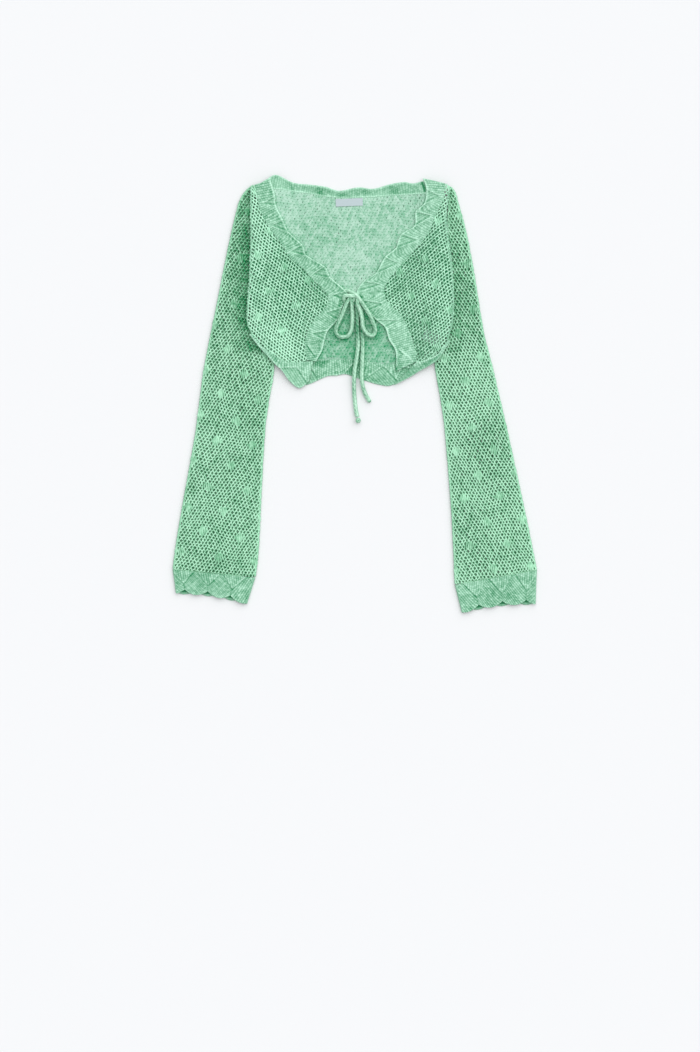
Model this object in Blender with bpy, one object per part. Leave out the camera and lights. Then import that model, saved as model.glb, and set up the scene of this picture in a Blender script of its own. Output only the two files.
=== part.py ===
"""Cropped crochet cardigan with a front tie, laid flat with its sleeves folded down.

The garment lies on the plane z = 0, neck towards +Y. Its own right side is at -X.
Tables and sizes are in millimetres; the meshes are made in metres.
"""
import math

import bpy

# ---- driving sizes, mm ----------------------------------------------------------------------
CLOTH = 1.8             # thickness of the crochet cloth
SEAM = 0.3              # gap between pieces that are linked edge to edge
LIFT = 0.35             # gap between layers that lie on each other
SLEEVE_STACK = 5.0      # a flattened sleeve, both layers and the air between them
SLEEVE_PUFF = 2.2       # how far a free sleeve's upper layer rounds up
FAN = 0.8               # how far the fans of the edging stand up
CORD = 6.2              # diameter of the crochet cord of the tie
CORD_STEP = 10.0        # distance between the points of a cord
MIDDLE_Y = -3.09        # y, in the tables, of the outline's middle, which becomes the origin
LABEL_THICK = 0.6

BACK_TOP = CLOTH + FAN                  # highest point of the back and its edging
FRONT_BASE = BACK_TOP + LIFT            # underside of the fronts
FRONT_TOP = FRONT_BASE + CLOTH + FAN    # highest point of the front edging
SLEEVE_INNER = 120.0    # distance of the sleeves' inner folds from the middle, under the body
CLIMB = 36.0            # width over which the body climbs onto the sleeves

MM = 0.001

# ---- tables, mm -----------------------------------------------------------------------------
# Edging, a row for each side of a fan: where the row leaves the seam, and its free edge.
# Columns: seam_x, seam_y, edge_x, edge_y
RIGHT_BAND = [
    (-150, 310, -126, 317),
    (-145, 287, -119, 293),
    (-142, 272, -118, 280),
    (-135, 257, -107, 257),
    (-126, 242, -99, 240),
    (-107, 217, -78, 220),
    (-99, 203, -72, 205),
    (-76, 183, -45, 188),
    (-63, 168, -36, 172),
    (-46, 152, -12, 150),
    (-39, 138, -13, 139),
    (-45, 125, -19, 126),
    (-57, 113, -25, 109),
    (-68, 97, -40, 92),
    (-74, 81, -45, 78),
    (-75, 66, -49, 62),
    (-72, 48, -58, 46),
]
LEFT_BAND = [
    (135, 312, 102, 320),
    (134, 299, 107, 303),
    (132, 287, 104, 283),
    (126, 274, 91, 270),
    (118, 257, 89, 249),
    (111, 239, 69, 236),
    (95, 218, 61, 216),
    (80, 202, 45, 202),
    (66, 186, 31, 178),
    (53, 171, 13, 166),
    (44, 153, 3, 151),
    (47, 139, 7, 138),
    (57, 127, 19, 122),
    (69, 116, 32, 108),
    (77, 102, 45, 97),
    (84, 86, 51, 79),
    (89, 70, 60, 64),
    (92, 57, 62, 50),
    (93, 46, 61, 31),
]
NECK_BAND = [
    (-145, 301, -147, 309),
    (-127, 303, -131, 319),
    (-112, 303, -117, 325),
    (-91, 300, -92, 314),
    (-67, 297, -66, 311),
    (-45, 293, -44, 308),
    (-22, 291, -23, 302),
    (3, 291, 5, 307),
    (27, 292, 28, 305),
    (53, 294, 54, 312),
    (72, 295, 74, 315),
    (89, 296, 88, 313),
    (108, 297, 107, 316),
    (134, 298, 132, 308),
]
BACK_HEM = [
    (-133, 67, -136, 65),
    (-114, 56, -118, 45),
    (-94, 48, -94, 18),
    (-76, 47, -74, 11),
    (-60, 48, -55, 18),
    (-43, 49, -41, 24),
    (-28, 49, -27, 25),
    (-13, 49, -14, 27),
    (3, 48, 2, 22),
    (20, 45, 20, 16),
    (38, 43, 38, 11),
    (56, 42, 57, 11),
    (87, 47, 92, 31),
    (125, 66, 129, 63),
]
RIGHT_HEM = [
    (-154, 87, -158, 86),
    (-139, 69, -143, 67),
    (-127, 59, -131, 54),
    (-115, 51, -120, 42),
    (-103, 46, -109, 32),
    (-93, 45, -98, 17),
    (-83, 45, -83, 6),
    (-72, 48, -66, 12),
]
LEFT_HEM = [
    (139, 78, 143, 76),
    (129, 63, 133, 60),
    (123, 56, 124, 48),
    (110, 50, 111, 39),
    (102, 47, 98, 32),
    (98, 46, 85, 24),
    (95, 46, 72, 17),
    (93, 46, 58, 10),
]
# Side edges of the panels, from the shoulder down. Columns: x, y
BACK_RIGHT_SIDE = [(-145, 301), (-153, 263), (-154, 221), (-155, 170), (-156, 130), (-152, 96), (-133, 67)]
BACK_LEFT_SIDE = [(134, 298), (137, 263), (141, 228), (145, 195), (146, 150), (144, 105), (125, 66)]
FRONT_RIGHT_SIDE = [(-156, 306), (-156, 263), (-156, 221), (-158, 170), (-161, 130), (-161, 103), (-154, 87)]
FRONT_LEFT_SIDE = [(143, 306), (136, 260), (139, 230), (145, 195), (148, 150), (147, 108), (139, 78)]
# Sleeves, a row for each section, from the armhole to the cuff seam: the outer fold, the
# inner fold, and how much of the puff the upper layer has.
# Columns: outer_x, outer_y, inner_x, inner_y, puff
RIGHT_SLEEVE = [
    (-151, 311, -133, 93, 0.0),
    (-163, 302, -131, 85, 0.0),
    (-172, 288, -129, 78, 0.0),
    (-179, 264, -127, 70, 0.0),
    (-190, 215, -125, 60, 0.0),
    (-202, 155, -123, 50, 0.1),
    (-212, 105, -121, 39, 0.3),
    (-227, 30, -123, 18, 0.7),
    (-238, -57, -134, -48, 1.0),
    (-254, -147, -140, -150, 1.0),
    (-267, -222, -144, -234, 0.8),
    (-273, -266, -149, -278, 0.4),
]
LEFT_SLEEVE = [
    (141, 311, 132, 105, 0.0),
    (151, 299, 130, 97, 0.0),
    (156, 280, 128, 89, 0.0),
    (166, 245, 126, 79, 0.0),
    (176, 195, 123, 68, 0.0),
    (185, 140, 121, 55, 0.1),
    (194, 86, 120, 41, 0.3),
    (206, 39, 123, 22, 0.7),
    (225, -42, 134, -45, 1.0),
    (247, -142, 143, -152, 1.0),
    (261, -207, 147, -214, 0.8),
    (273, -267, 150, -289, 0.4),
]
# Free edge of each cuff. Columns: outer_x, outer_y, inner_x, inner_y
RIGHT_CUFF_EDGE = (-268, -299, -161, -315)
LEFT_CUFF_EDGE = (271, -315, 160, -328)
CUFF_FANS = 3           # fans across one layer of a cuff
CUFF_SCALLOP = 3.2      # depth of its scallops
# The tie. Columns: x, y, z of the cord's middle
KNOT = (-4, 142.4, 8.6)
KNOT_SIZE = (23, 15.5, 9.6)
RIGHT_LOOP = [
    (-11.6, 134.2, 9.4), (-15.4, 124, 9.8), (-20.5, 111.5, 9.8), (-25.8, 100.5, 9.2), (-28, 92.5, 7.8),
    (-26.2, 86.2, 6.8), (-19, 82.6, 6.4), (-9.8, 85, 6.4), (-4.6, 96, 6.4), (-3.6, 113, 6.4),
    (-4.2, 125, 6.8), (-4.8, 134.1, 7.8),
]
LEFT_LOOP = [
    (7.6, 138.4, 10.2), (14.6, 128, 11.2), (22, 116, 11.0), (28, 103, 9.4), (31, 91.5, 8.2),
    (26.8, 84.4, 8.6), (18.4, 87, 10.6), (12.6, 97, 11.9), (10.8, 110, 11.9), (7.8, 122, 12.1),
    (3.4, 131.6, 12.3),
]
RIGHT_TAIL = [
    (2, 133.6, 5.8), (4, 122, 5.4), (4.2, 109, 5.4), (4.4, 92, 5.4), (5.2, 70, 5.6), (2.6, 50, 6.2),
    (0, 33, 6.1), (-1, 18, 5.6), (-1, 4, 3.7), (0, -12, 3.2), (2, -28, 3.2), (4, -37, 3.3),
]
LEFT_TAIL = [
    (10.6, 124, 5.4), (11, 110, 5.4), (11.2, 92, 5.4), (12, 70, 5.6), (11.5, 50, 6.2),
    (10.8, 33, 6.1), (10.6, 19, 5.9), (12.5, 7, 4.1), (17, -5, 3.2), (23, -15, 3.2),
]
TAIL_KNOT = (5.1, -42.0, 4.3)
TAIL_KNOT_SIZE = (8.6, 10, 8.4)
# Label on the inside of the back. Columns: x, y
LABEL = [(-28, 288.5), (12, 288.5), (11, 277), (-28, 277.5)]

MINT = (0.27, 0.55, 0.35, 1)
PALE_MINT = (0.33, 0.61, 0.42, 1)
LABEL_GREY = (0.62, 0.68, 0.70, 1)


# ---- curves and heights ---------------------------------------------------------------------
def smooth(t):
    """A soft step from 0 to 1."""
    t = min(max(t, 0.0), 1.0)
    return t * t * (3 - 2 * t)


def spline(rows, steps):
    """A smooth curve through the rows, with so many steps between two of them."""
    last = len(rows) - 1
    points = []
    for i in range(last):
        before, start, end, after = rows[max(i - 1, 0)], rows[i], rows[i + 1], rows[min(i + 2, last)]
        for k in range(steps):
            t = k / steps
            points.append(tuple(
                0.5 * (2 * b + (c - a) * t + (2 * a - 5 * b + 4 * c - d) * t * t
                       + (3 * b - a - 3 * c + d) * t ** 3)
                for a, b, c, d in zip(before, start, end, after)))
    points.append(tuple(float(value) for value in rows[last]))
    return points


def spaced(points, count):
    """The curve's points again, evenly spaced, as count points."""
    lengths = [0.0]
    for a, b in zip(points, points[1:]):
        lengths.append(lengths[-1] + math.dist(a, b))
    result = []
    span = 0
    for k in range(count):
        target = lengths[-1] * k / (count - 1)
        while span < len(points) - 2 and lengths[span + 1] < target:
            span += 1
        t = (target - lengths[span]) / (lengths[span + 1] - lengths[span])
        result.append(mix(points[span], points[span + 1], t))
    return result


def mix(a, b, t):
    return tuple(p + (q - p) * t for p, q in zip(a, b))


def in_metres(point):
    """A point of the tables in the part's frame, whose origin is under the outline's middle."""
    x, y, z = point
    return [x * MM, (y - MIDDLE_Y) * MM, z * MM]


def stack(x):
    """Height of the sleeves under the body, which climbs onto them softly."""
    return (SLEEVE_STACK + LIFT) * smooth((abs(x) - SLEEVE_INNER + CLIMB) / CLIMB)


# ---- meshes ---------------------------------------------------------------------------------
def material(name, colour, roughness):
    made = bpy.data.materials.get(name) or bpy.data.materials.new(name)
    made.use_nodes = True
    shader = made.node_tree.nodes["Principled BSDF"]
    shader.inputs["Base Color"].default_value = colour
    shader.inputs["Roughness"].default_value = roughness
    return made


def add_mesh(name, points, faces, finish):
    mesh = bpy.data.meshes.new(name)
    mesh.from_pydata([in_metres(point) for point in points], [], faces)
    mesh.materials.append(finish)
    mesh.shade_smooth()
    piece = bpy.data.objects.new(name, mesh)
    bpy.context.collection.objects.link(piece)
    return piece


def wall(name, grid, base, relief, finish, thick=CLOTH):
    """A cloth wall over a grid of plan points, given in rows from left to right, top row first."""
    rows, columns = len(grid), len(grid[0])
    points, faces = [], []
    for side in (0, 1):
        for r, row in enumerate(grid):
            for c, (x, y) in enumerate(row):
                z = stack(x) + base(r, c)
                points.append((x, y, z + (thick + relief(r, c) if side else 0)))

    def at(side, r, c):
        return side * rows * columns + r * columns + c

    for r in range(rows - 1):
        for c in range(columns - 1):
            cell = [(r, c), (r + 1, c), (r + 1, c + 1), (r, c + 1)]
            faces.append([at(1, *corner) for corner in cell])
            faces.append([at(0, *corner) for corner in reversed(cell)])
    rim = [(0, c) for c in range(columns)] + [(r, columns - 1) for r in range(1, rows)]
    rim += [(rows - 1, c) for c in range(columns - 2, -1, -1)] + [(r, 0) for r in range(rows - 2, 0, -1)]
    for a, b in zip(rim, rim[1:] + rim[:1]):
        faces.append([at(0, *a), at(1, *a), at(1, *b), at(0, *b)])
    return add_mesh(name, points, faces, finish)


def patch(top, bottom, left, right):
    """Plan points that fill four edge curves, which meet at their ends."""
    rows, columns = len(left), len(top)
    grid = []
    for r in range(rows):
        v = r / (rows - 1)
        row = []
        for c in range(columns):
            u = c / (columns - 1)
            across = mix(left[r], right[r], u)
            down = mix(top[c], bottom[c], v)
            corners = mix(mix(top[0], top[-1], u), mix(bottom[0], bottom[-1], u), v)
            row.append(tuple(a + d - k for a, d, k in zip(across, down, corners)))
        grid.append(row)
    return grid


def edging(table, steps, across=3):
    """Plan points of an edging strip: a row for each station, from just off the seam outwards."""
    grid = []
    for seam_x, seam_y, edge_x, edge_y in spline(table, steps):
        seam, edge = (seam_x, seam_y), (edge_x, edge_y)
        start = SEAM / math.dist(seam, edge) if math.dist(seam, edge) > 1 else 0.1
        grid.append([mix(seam, edge, start + (1 - start) * k / across) for k in range(across + 1)])
    return grid


def fans(steps, across=3):
    """Relief of an edging: each second span is a fan that sinks in towards the free edge."""
    def relief(station, k):
        span, within = divmod(station / steps, 1)
        sunk = span % 2 == 1 and within > 0
        return FAN * (1 - 0.9 * k / across) if sunk else FAN
    return relief


def seam_line(table, steps):
    return [point[:2] for point in spline(table, steps)]


def turned(grid, flip):
    """The grid with its rows reversed where the strip runs the other way round."""
    return [row[::-1] for row in grid] if flip else grid


# ---- the pieces -----------------------------------------------------------------------------
def make_back(finish, edge_finish):
    steps = 3
    rows = 11
    top = seam_line(NECK_BAND, steps)
    bottom = seam_line(BACK_HEM, steps)
    left = spaced(spline(BACK_RIGHT_SIDE, 6), rows)
    right = spaced(spline(BACK_LEFT_SIDE, 6), rows)
    flat = lambda r, c: 0.0
    wall("back_panel", patch(top, bottom, left, right), flat, flat, finish)
    relief = fans(steps)
    neck = list(zip(*edging(NECK_BAND, steps)))[::-1]
    wall("neck_band_back", neck, flat, lambda r, c: relief(c, 3 - r), edge_finish)
    hem = list(zip(*edging(BACK_HEM, steps)))
    wall("hem_band_back", hem, flat, lambda r, c: relief(c, r), edge_finish)


def make_front(side, band_table, hem_table, side_table, finish, edge_finish):
    """One front with the edging of its opening and of its hem. The patch runs from -X to +X."""
    steps = 2
    inner = seam_line(band_table, steps)
    outer = spaced(spline(side_table, 6), len(inner))
    hem_line = seam_line(hem_table, 1)
    shoulder = [mix(outer[0], inner[0], k / (len(hem_line) - 1)) for k in range(len(hem_line))]
    at_right = side == "right"

    def base(r, c):
        """The cloth lies a little hollow between its side fold and its edging."""
        u = c / (len(hem_line) - 1)
        v = r / (len(inner) - 1)
        return FRONT_BASE + 1.6 * math.sin(math.pi * u) ** 2 * math.sin(math.pi * v)

    def fold(r, c):
        """Soft pleats that run out from the tie across the lower front."""
        u = c / (len(hem_line) - 1)
        v = r / (len(inner) - 1)
        low = smooth((v - 0.45) / 0.2) * (1 - smooth((v - 0.85) / 0.15))
        return FAN * low * math.sin(math.pi * u) * (0.5 + 0.5 * math.sin(30 * v))

    flip = not at_right
    panel = patch(shoulder, hem_line, outer, inner)
    columns = len(hem_line) - 1
    wall("front_" + side, turned(panel, flip),
         lambda r, c: base(r, columns - c if flip else c),
         lambda r, c: fold(r, columns - c if flip else c), finish)
    relief = fans(steps)
    band = edging(band_table, steps)
    level = lambda r, c: FRONT_BASE
    wall("front_band_" + side, turned(band, flip), level,
         lambda r, c: relief(r, 3 - c if flip else c), edge_finish)
    relief_hem = fans(1)
    hem = [list(row) for row in zip(*edging(hem_table, 1))]
    last = len(hem_table) - 1
    wall("hem_band_" + side, turned(hem, flip), level,
         lambda r, c: relief_hem(last - c if flip else c, r), edge_finish)


def section(outer, inner, half, radius, top_rise, flat_count):
    """One ring of a flattened tube, which stands upright between its two folds.

    half is the outer half thickness; radius is that of this ring's folds, smaller inside.
    Returns points as (along, z) pairs, where along runs from the outer fold to the inner.
    """
    width = math.dist(outer, inner)
    ring = []
    for k in range(flat_count):
        ring.append((half + (width - 2 * half) * k / (flat_count - 1), half - radius))
    for k in range(1, 4):
        angle = -math.pi / 2 + math.pi * k / 4
        ring.append((width - half + radius * math.cos(angle), half + radius * math.sin(angle)))
    for k in range(flat_count):
        t = 1 - k / (flat_count - 1)
        ring.append((half + (width - 2 * half) * t, half + radius + top_rise * math.sin(math.pi * t)))
    for k in range(1, 4):
        angle = math.pi / 2 + math.pi * k / 4
        ring.append((half + radius * math.cos(angle), half + radius * math.sin(angle)))
    return ring


def tube(name, sections, finish):
    """A hollow tube from sections, each an outer and an inner loop of points."""
    size = len(sections[0][0])
    points = []
    for outer_loop, inner_loop in sections:
        points += outer_loop + inner_loop
    faces = []
    last = len(sections) - 1

    def at(level, layer, k):
        return level * 2 * size + layer * size + k % size

    for level in range(last):
        for k in range(size):
            cell = [(level, k), (level + 1, k), (level + 1, k + 1), (level, k + 1)]
            faces.append([at(lv, 0, n) for lv, n in cell])
            faces.append([at(lv, 1, n) for lv, n in reversed(cell)])
    for k in range(size):
        faces.append([at(0, 0, k), at(0, 0, k + 1), at(0, 1, k + 1), at(0, 1, k)])
        faces.append([at(last, 0, k + 1), at(last, 0, k), at(last, 1, k), at(last, 1, k + 1)])
    return add_mesh(name, points, faces, finish)


def place(ring, outer, inner, down=0.0, reach=None):
    """A section's (along, z) pairs as points, moved down the sleeve by down plus reach(k)."""
    width = math.dist(outer, inner)
    ux, uy = (inner[0] - outer[0]) / width, (inner[1] - outer[1]) / width
    turn = 1 if ux > 0 else -1
    dx, dy = uy * turn, -ux * turn
    points = []
    for k, (along, z) in enumerate(ring):
        move = down + (reach(k) if reach else 0)
        points.append((outer[0] + ux * along + dx * move, outer[1] + uy * along + dy * move, z))
    return points


def make_sleeve(side, table, cuff_edge, finish, edge_finish):
    half = SLEEVE_STACK / 2
    flat_count = 5
    sections = []
    rows = spline(table, 2)
    for outer_x, outer_y, inner_x, inner_y, puff in rows:
        outer, inner = (outer_x, outer_y), (inner_x, inner_y)
        rise = SLEEVE_PUFF * max(puff, 0)
        loops = [section(outer, inner, half, radius, rise, flat_count) for radius in (half, half - CLOTH)]
        sections.append([place(loop, outer, inner) for loop in loops])
    if side == "right":
        sections = [[loop[::-1] for loop in pair] for pair in sections]
    tube("sleeve_" + side, sections, finish)

    seam_outer, seam_inner = rows[-1][:2], rows[-1][2:4]
    edge_outer, edge_inner = cuff_edge[:2], cuff_edge[2:]
    flat_count = CUFF_FANS * 4 + 1
    levels = 3
    sections = []
    for level in range(levels + 1):
        t = level / levels
        outer, inner = mix(seam_outer, edge_outer, t), mix(seam_inner, edge_inner, t)
        rise = SLEEVE_PUFF * max(rows[-1][4], 0) * (1 - t)

        def scallop(k, t=t):
            """Round lobes along the free edge, the under layer's half a fan further on."""
            phase = (k if k < flat_count else k - flat_count - 1) / 4 + (0.5 if k < flat_count else 0)
            return CUFF_SCALLOP * t * t * math.cos(2 * math.pi * phase)

        pair = []
        for radius in (half, half - CLOTH):
            ring = section(outer, inner, half, radius, rise, flat_count)
            if radius == half:
                ring = [(along, z + cuff_fan(k, t, flat_count)) for k, (along, z) in enumerate(ring)]
            pair.append(place(ring, outer, inner, SEAM * (1 - t), scallop))
        sections.append(pair)
    if side == "right":
        sections = [[loop[::-1] for loop in pair] for pair in sections]
    tube("cuff_" + side, sections, edge_finish)


def cuff_fan(k, t, flat_count):
    """Relief of a cuff's upper layer: fans that sink in towards the free edge."""
    first = flat_count + 3
    if not first < k < first + flat_count - 1:
        return 0
    return FAN * (1 if (k - first) % 4 < 3 else 1 - 0.9 * t)


def cord(name, route, finish):
    """A crochet cord along a smooth line through the route's points."""
    smooth_line = spline(route, 12)
    length = sum(math.dist(a, b) for a, b in zip(smooth_line, smooth_line[1:]))
    line = spaced(smooth_line, round(length / CORD_STEP) + 1)
    curve = bpy.data.curves.new(name, "CURVE")
    curve.dimensions = "3D"
    curve.bevel_depth = CORD / 2 * MM
    curve.bevel_resolution = 2
    curve.use_fill_caps = True
    path = curve.splines.new("POLY")
    path.points.add(len(line) - 1)
    for point, place_at in zip(path.points, line):
        point.co = in_metres(place_at) + [1]
    curve.materials.append(finish)
    piece = bpy.data.objects.new(name, curve)
    bpy.context.collection.objects.link(piece)
    return piece


def knot(name, centre, size, finish):
    """A rounded lump of cord, flattened to the given width, length and height."""
    rings, sides = 6, 12
    points = [(centre[0], centre[1], centre[2] - size[2] / 2)]
    for r in range(1, rings):
        angle = -math.pi / 2 + math.pi * r / rings
        for s in range(sides):
            turn = 2 * math.pi * s / sides
            points.append((centre[0] + size[0] / 2 * math.cos(angle) * math.cos(turn),
                           centre[1] + size[1] / 2 * math.cos(angle) * math.sin(turn),
                           centre[2] + size[2] / 2 * math.sin(angle)))
    points.append((centre[0], centre[1], centre[2] + size[2] / 2))
    top = len(points) - 1
    faces = []
    for s in range(sides):
        following = (s + 1) % sides
        faces.append([0, 1 + following, 1 + s])
        faces.append([top, top - sides + s, top - sides + following])
        for r in range(rings - 2):
            low = 1 + r * sides
            faces.append([low + s, low + following, low + sides + following, low + sides + s])
    return add_mesh(name, points, faces, finish)


def make_label(finish):
    grid = [[mix(LABEL[0], LABEL[1], k / 4) for k in range(5)],
            [mix(LABEL[3], LABEL[2], k / 4) for k in range(5)]]
    wall("neck_label", grid, lambda r, c: CLOTH + LIFT, lambda r, c: 0.0, finish, LABEL_THICK)


def make_tie(finish):
    knot("tie_knot", KNOT, KNOT_SIZE, finish)
    cord("tie_loop_right", RIGHT_LOOP, finish)
    cord("tie_loop_left", LEFT_LOOP, finish)
    cord("tie_tail_right", RIGHT_TAIL, finish)
    cord("tie_tail_left", LEFT_TAIL, finish)
    knot("tie_end_knot", TAIL_KNOT, TAIL_KNOT_SIZE, finish)


def main():
    for old in list(bpy.data.objects):
        bpy.data.objects.remove(old)
    net = material("mint net crochet", MINT, 0.85)
    edge = material("mint edging crochet", PALE_MINT, 0.85)
    make_back(net, edge)
    make_front("right", RIGHT_BAND, RIGHT_HEM, FRONT_RIGHT_SIDE, net, edge)
    make_front("left", LEFT_BAND, LEFT_HEM, FRONT_LEFT_SIDE, net, edge)
    make_sleeve("right", RIGHT_SLEEVE, RIGHT_CUFF_EDGE, net, edge)
    make_sleeve("left", LEFT_SLEEVE, LEFT_CUFF_EDGE, net, edge)
    make_tie(edge)
    make_label(material("pale label", LABEL_GREY, 0.5))


main()
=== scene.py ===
import math

import bmesh
import bpy
import numpy as np
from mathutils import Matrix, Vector
from mathutils.bvhtree import BVHTree


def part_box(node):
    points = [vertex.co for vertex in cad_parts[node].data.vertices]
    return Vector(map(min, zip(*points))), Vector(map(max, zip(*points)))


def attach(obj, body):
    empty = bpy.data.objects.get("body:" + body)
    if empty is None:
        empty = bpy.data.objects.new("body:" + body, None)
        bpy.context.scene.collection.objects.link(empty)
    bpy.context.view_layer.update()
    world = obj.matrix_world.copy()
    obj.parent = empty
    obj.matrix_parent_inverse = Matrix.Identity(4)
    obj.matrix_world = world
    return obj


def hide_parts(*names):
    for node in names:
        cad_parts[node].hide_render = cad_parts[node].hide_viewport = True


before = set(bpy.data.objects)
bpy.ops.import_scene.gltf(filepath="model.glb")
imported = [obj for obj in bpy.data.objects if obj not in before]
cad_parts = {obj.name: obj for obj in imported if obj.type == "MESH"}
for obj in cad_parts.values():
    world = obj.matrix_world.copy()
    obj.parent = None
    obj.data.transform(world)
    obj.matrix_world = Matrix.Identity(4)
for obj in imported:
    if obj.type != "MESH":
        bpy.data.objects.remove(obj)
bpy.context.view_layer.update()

# Lengths in the dictionaries are millimetres unless they say otherwise; meshes are in metres.
mm = 0.001
middleY = -3.09    # where the part's origin lies in the tables below, as the solids have it


def deselectAll():
    if bpy.context.mode != "OBJECT":
        bpy.ops.object.mode_set(mode="OBJECT")
    bpy.ops.object.select_all(action="DESELECT")


# Links a socket to a Shade, or gives it a plain value.
def plug(tree, slot, value):
    if isinstance(value, Shade):
        tree.links.new(value.socket, slot)
    else:
        slot.default_value = value


# A socket that can be written with +, - and *, also after a plain number, as in 1 - mask.
class Shade:
    def __init__(self, tree, socket):
        self.tree = tree
        self.socket = socket

    def math(self, operation, *values):
        node = self.tree.nodes.new("ShaderNodeMath")
        node.operation = operation
        for slot, value in zip(node.inputs, values):
            plug(self.tree, slot, value)
        return Shade(self.tree, node.outputs[0])

    def __add__(self, other):
        return self.math("ADD", self, other)

    def __sub__(self, other):
        return self.math("SUBTRACT", self, other)

    def __rsub__(self, other):
        return self.math("SUBTRACT", other, self)

    def __mul__(self, other):
        return self.math("MULTIPLY", self, other)

    __radd__ = __add__
    __rmul__ = __mul__

    def sin(self):
        return self.math("SINE", self)

    def cos(self):
        return self.math("COSINE", self)

    def clamp(self):
        return self.math("MINIMUM", self.math("MAXIMUM", self, 0.0), 1.0)


# One material, with its nodes added by short calls. The surface names values of its shader's sockets.
class Finish:
    def __init__(self, name, surface):
        self.material = bpy.data.materials.new(name)
        self.material.use_nodes = True
        self.tree = self.material.node_tree
        self.shader = self.tree.nodes["Principled BSDF"]
        for socket, value in surface.items():
            self.shader.inputs[socket].default_value = value

    def node(self, kind, settings=None, sockets=None):
        made = self.tree.nodes.new(kind)
        for key, value in (settings or {}).items():
            setattr(made, key, value)
        for key, value in (sockets or {}).items():
            plug(self.tree, made.inputs[key], value)
        return made

    def place(self):
        return Shade(self.tree, self.node("ShaderNodeTexCoord").outputs["Object"])

    def attribute(self, name, output):
        return Shade(self.tree, self.node("ShaderNodeAttribute", {"attribute_name": name}).outputs[output])

    def split(self, vector):
        made = self.node("ShaderNodeSeparateXYZ", sockets={"Vector": vector})
        return [Shade(self.tree, made.outputs[axis]) for axis in "XYZ"]

    # Noise about 0.
    def noise(self, scale, detail):
        made = self.node("ShaderNodeTexNoise",
                         sockets={"Scale": scale, "Detail": detail, "Vector": self.place()})
        return Shade(self.tree, made.outputs[0]) - 0.5

    def colour(self, factor, dark, light):
        made = self.node("ShaderNodeMix", {"data_type": "RGBA"}, {0: factor, 6: dark, 7: light})
        self.tree.links.new(made.outputs[2], self.shader.inputs["Base Color"])

    def bump(self, height, strength, distance):
        made = self.node("ShaderNodeBump",
                         sockets={"Height": height, "Strength": strength, "Distance": distance})
        self.tree.links.new(made.outputs[0], self.shader.inputs["Normal"])


# Clouds, lumps and fuzz are each a noise's scale, its detail and its share of the shade.
cotton = {"Roughness": 0.86, "Specular IOR Level": 0.05,
          "Sheen Weight": 0.05, "Sheen Tint": (0.75, 1.0, 0.86, 1)}
yarnLook = {
    "clouds": (9.0, 3.0, 0.7), "lumps": (330.0, 2.0, 0.6), "fuzz": (900.0, 2.0, 0.5),
    "plyPitch": 1.5,        # length of one turn of the plies
    "plyTone": 0.14,
    "topPaintedLight": 0.22,        # painted light: how much lighter the upper side is
    "bump": 0.55,
    "bumpDepth": 0.12,
    "level": 0.5,
}
edgingCloth = {
    "clouds": (22.0, 3.0, 0.4), "lumps": (300.0, 2.0, 0.55), "fuzz": (1100.0, 2.0, 0.5),
    "reliefPaintedLight": 0.95,      # share of the lightness painted as the light and shade of the relief
    "bump": 0.5,
    "bumpDepth": 0.14,
    "level": 0.02,
}


# The cloudy, lumpy shade of cotton, and its fuzz alone.
def cottonGrain(finish, look):
    clouds, lumps, fuzz = [finish.noise(*look[part][:2]) for part in ("clouds", "lumps", "fuzz")]
    grain = clouds * look["clouds"][2] + lumps * look["lumps"][2] + fuzz * look["fuzz"][2] + look["level"]
    return grain, fuzz


# Matt cotton yarn: twisted plies along the strand, with painted light on its upper side and painted shade
# underneath.
def yarnFinish(name, dark, light):
    look = yarnLook
    finish = Finish(name, cotton)
    along, side, up = finish.split(finish.attribute("strand", "Vector"))
    turns = along * (2 * math.pi / (look["plyPitch"] * mm))
    plies = turns.sin() * side + turns.cos() * up
    grain, fuzz = cottonGrain(finish, look)
    # painted light on the strand's upper side and painted shade on its underside
    shade = grain + plies * look["plyTone"] + up * look["topPaintedLight"] + finish.attribute("tone", "Fac")
    finish.colour(shade.clamp(), dark, light)
    finish.bump(plies * 0.5 + fuzz * 0.5, look["bump"], look["bumpDepth"] * mm)
    return finish.material


# Close crochet: lightness painted as the light and shade of its relief, with fine fuzz over it.
def edgingFinish(name, dark, light):
    look = edgingCloth
    finish = Finish(name, cotton)
    grain, fuzz = cottonGrain(finish, look)
    shade = finish.attribute("tone", "Fac") * look["reliefPaintedLight"] + grain
    finish.colour(shade.clamp(), dark, light)
    finish.bump(fuzz, look["bump"], look["bumpDepth"] * mm)
    return finish.material


sleeveYarn = yarnFinish("mint net yarn", (0.006, 0.25, 0.078, 1), (0.475, 0.84, 0.60, 1))
frontYarn = yarnFinish("mint front yarn", (0.006, 0.25, 0.078, 1), (0.52, 0.90, 0.665, 1))
backYarn = yarnFinish("mint back yarn", (0.015, 0.31, 0.12, 1), (0.475, 0.705, 0.575, 1))
cordYarn = edgingFinish("mint cord", (0.01, 0.22, 0.085, 1), (0.62, 0.93, 0.73, 1))
edgingYarn = edgingFinish("mint fan edging", (0.04, 0.25, 0.11, 1), (0.53, 0.85, 0.66, 1))
print("finishes ready")


# The same smooth curve through the rows as the solids follow.
def spline(rows, steps):
    rows = np.array(rows, float)
    points = []
    last = len(rows) - 1
    for i in range(last):
        a, b, c, d = rows[max(i - 1, 0)], rows[i], rows[i + 1], rows[min(i + 2, last)]
        for k in range(steps):
            t = k / steps
            points.append(0.5 * (2 * b + (c - a) * t + (2 * a - 5 * b + 4 * c - d) * t * t
                                 + (3 * b - a - 3 * c + d) * t ** 3))
    points.append(rows[last])
    return np.array(points)


# How far each point of a line is from its start, along the line.
def distances(points):
    return np.concatenate([[0], np.cumsum(np.linalg.norm(np.diff(points, axis=0), axis=1))])


# The rows again at even lengths.
def resampled(rows, lengths, count):
    wanted = np.linspace(0, lengths[-1], count)
    return np.stack([np.interp(wanted, lengths, column) for column in rows.T], 1)


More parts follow.
